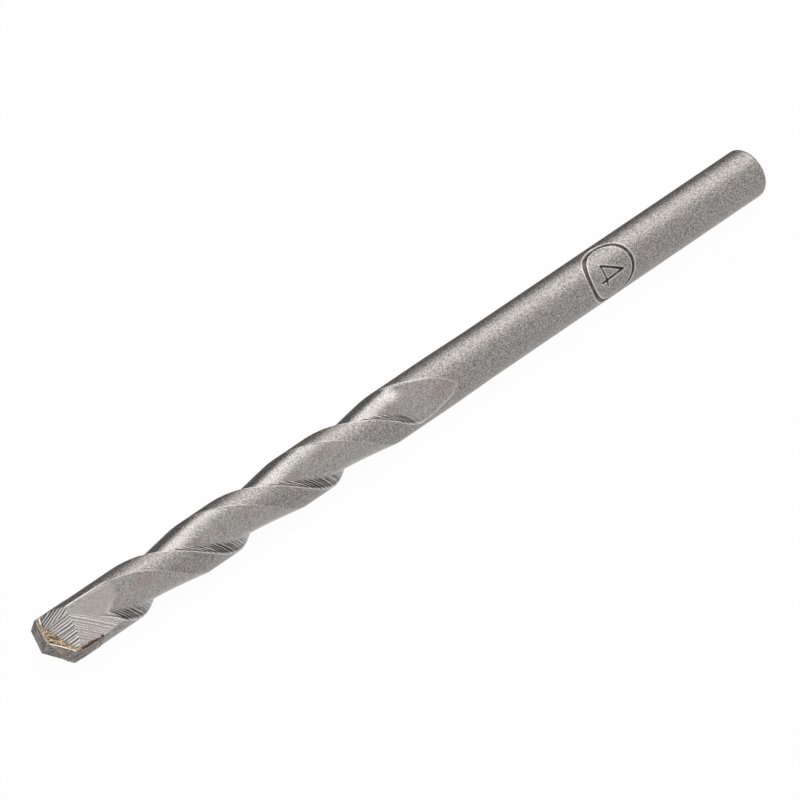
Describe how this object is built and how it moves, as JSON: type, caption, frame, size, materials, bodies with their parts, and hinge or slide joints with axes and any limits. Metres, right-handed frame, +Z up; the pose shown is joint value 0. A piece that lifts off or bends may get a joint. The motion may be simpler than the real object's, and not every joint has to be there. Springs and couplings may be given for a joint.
{
  "type": "masonry drill bit",
  "caption": "Masonry drill bit, 4 mm by 75 mm: plain round shank, right-hand fluted body and a brazed-in hard metal plate ground to a roof-shaped point.",
  "frame": {"origin": "middle of the bit's length, under its axis, on the surface that it lies on", "axes": "+X along the bit's axis from the point to the shank end, +Z up, with the hard metal plate 18.3 degrees off level"},
  "size_m": [0.075, 0.004, 0.004],
  "materials": {
    "steel_body": "blasted steel with ground and milled faces",
    "carbide_tip": "ground hard metal, dull dark grey",
    "braze": "as-flowed braze, golden brown"
  },
  "bodies": {
    "root": {"steel_body": "steel_body", "carbide_tip": "carbide_tip", "braze": "braze"}
  },
  "joints": []
}
